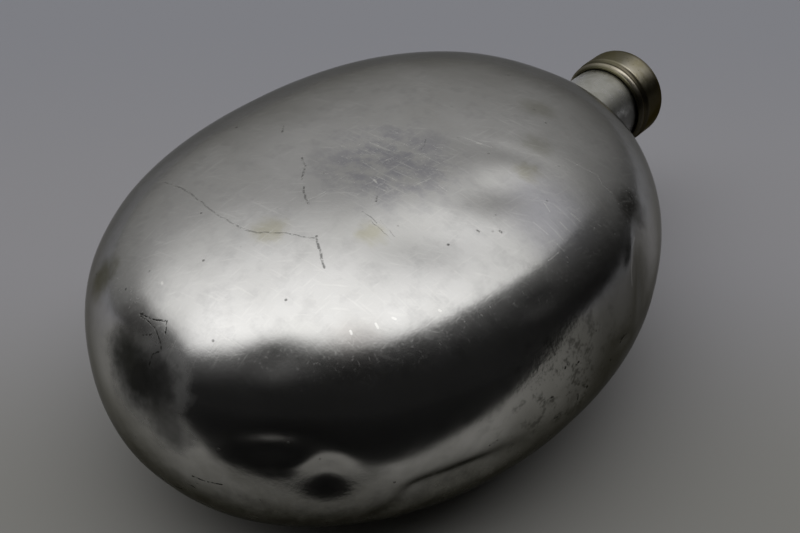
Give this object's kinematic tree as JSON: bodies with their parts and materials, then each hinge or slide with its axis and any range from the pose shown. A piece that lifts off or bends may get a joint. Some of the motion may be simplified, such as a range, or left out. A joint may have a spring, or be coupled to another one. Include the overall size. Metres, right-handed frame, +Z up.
{
  "type": "canteen",
  "caption": "Flattened oval aluminium canteen with a plain neck and a nickel-plated screw cap, for carrying and pouring water.",
  "frame": {"origin": "middle of the canteen's whole length and width, on the surface it lies on", "axes": "+Y along the neck axis from the closed end to the cap, +Z up through the thickness as it lies on its broad side, X across the width"},
  "size_m": [0.138, 0.2172, 0.0843],
  "materials": {
    "drawn_aluminium": "worn satin polish, scratched and dented, dull grey oxide",
    "turned_aluminium": "turned, worn bright",
    "nickel_plate": "tarnished nickel plate on brass, pale olive",
    "bare_brass": "turned and threaded brass, dull",
    "seal_rubber": "old dark rubber, matte"
  },
  "bodies": {
    "bottle": {"body_shell": "drawn_aluminium", "neck_collar": "turned_aluminium"},
    "cap_seal": {"seal_disc": "seal_rubber"},
    "cap": {"cap_shell": "nickel_plate", "cap_thread_liner": "bare_brass"}
  },
  "joints": [
    {"name": "cap_lift", "type": "slide", "parent": "bottle", "child": "cap_seal", "axis": [0, 1, 0], "range_m": [0, 0.012]},
    {"name": "cap_turn", "type": "hinge", "parent": "cap_seal", "child": "cap", "pos_m": [0, 0.0918, 0.0415], "axis": [0, 1, 0], "range_deg": [0, 1440]}
  ],
  "couplings": [
    {"joint": "cap_lift", "follows": "cap_turn", "m_per_rad": 0.00047746}
  ]
}
